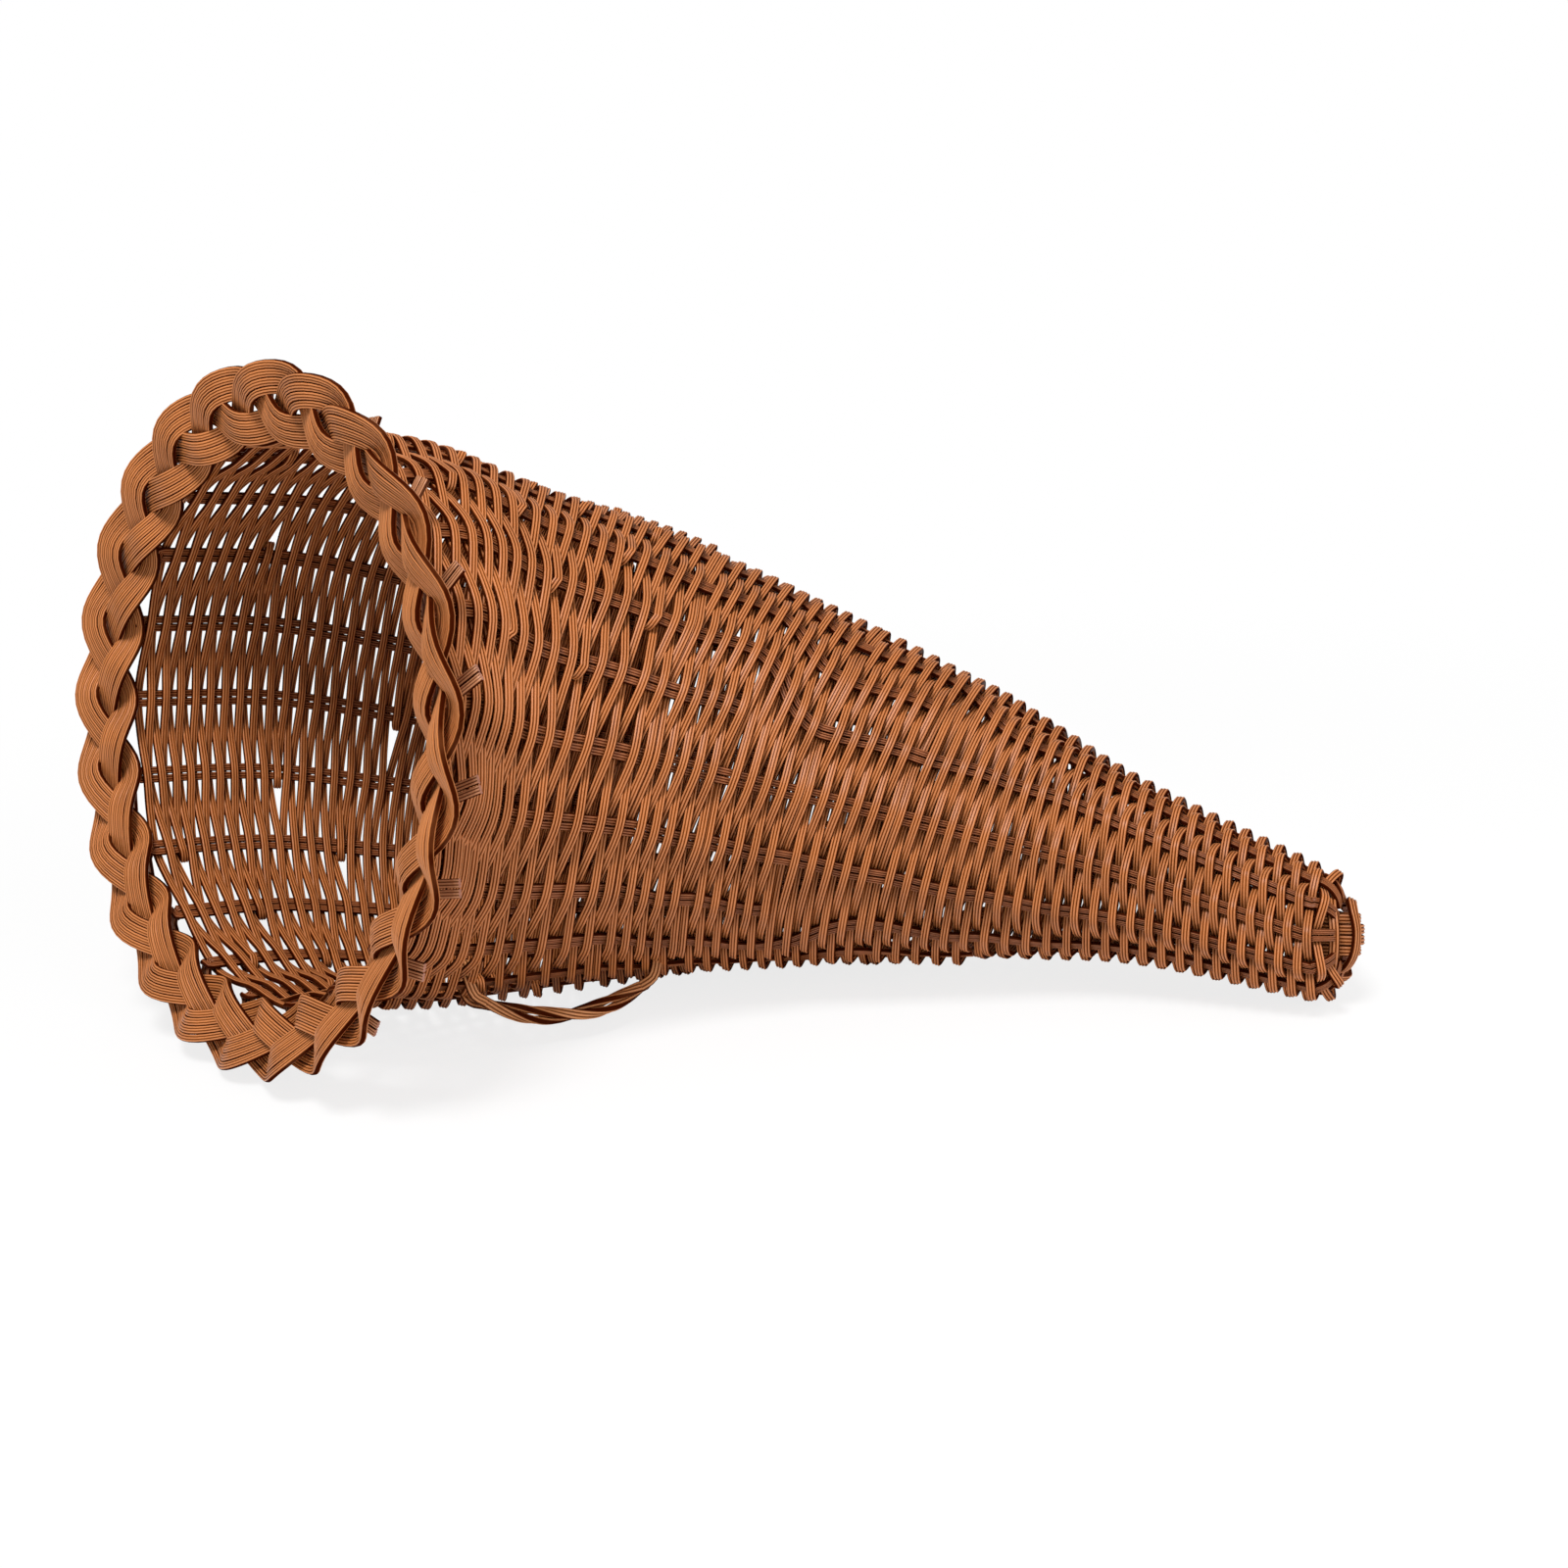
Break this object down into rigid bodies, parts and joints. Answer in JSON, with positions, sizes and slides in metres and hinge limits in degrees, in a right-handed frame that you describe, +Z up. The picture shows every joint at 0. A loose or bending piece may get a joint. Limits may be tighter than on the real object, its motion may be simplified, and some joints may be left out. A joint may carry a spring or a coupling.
{
  "type": "cornucopia basket",
  "caption": "Open horn-shaped basket woven from flat plastic rattan strand, with a plaited border round its mouth and a small hanging loop underneath.",
  "frame": {"origin": "centre of the bounding box's bottom, on the floor that the basket lies on", "axes": "+X along the horn from its mouth to its tail, +Z up, +Y away from the side that the mouth is turned to"},
  "size_m": [0.3312, 0.1658, 0.1724],
  "materials": {
    "border_strand": "ribbed plastic rattan band, tan orange, satin",
    "stake_strand": "pair of ribbed plastic rattan strands, tan orange, satin",
    "weaver_strand": "ribbed plastic rattan strand, tan orange, satin",
    "tail_strand": "ribbed plastic rattan strand, tan orange, satin",
    "loop_strand": "round plastic rattan strand, tan orange, satin"
  },
  "bodies": {
    "basket": {"border_band_1": "border_strand", "border_band_2": "border_strand", "border_band_3": "border_strand", "stake_01": "stake_strand", "stake_02": "stake_strand", "stake_03": "stake_strand", "stake_04": "stake_strand", "stake_05": "stake_strand", "stake_06": "stake_strand", "stake_07": "stake_strand", "stake_08": "stake_strand", "stake_09": "stake_strand", "stake_10": "stake_strand", "stake_11": "stake_strand", "stake_12": "stake_strand", "stake_13": "stake_strand", "stake_14": "stake_strand", "stake_15": "stake_strand", "stake_16": "stake_strand", "stake_17": "stake_strand", "stake_18": "stake_strand", "stake_19": "stake_strand", "stake_20": "stake_strand", "stake_21": "stake_strand", "tail_binding": "tail_strand", "tail_fold_1": "tail_strand", "tail_fold_2": "tail_strand", "tail_fold_3": "tail_strand", "tail_fold_4": "tail_strand", "weaver_1": "weaver_strand", "weaver_2": "weaver_strand", "weaver_3": "weaver_strand", "weaver_4": "weaver_strand", "weaver_5": "weaver_strand", "weaver_6": "weaver_strand", "weaver_7": "weaver_strand", "weaver_8": "weaver_strand", "weaver_9": "weaver_strand"},
    "hanging_loop": {"loop_strand_1": "loop_strand", "loop_strand_2": "loop_strand"}
  },
  "joints": [
    {"name": "loop_swing", "type": "hinge", "parent": "basket", "child": "hanging_loop", "pos_m": [-0.03198, -0.0232, 0.01647], "axis": [0.9342, 0.3385, -0.1128], "range_deg": [-15, 15]}
  ]
}
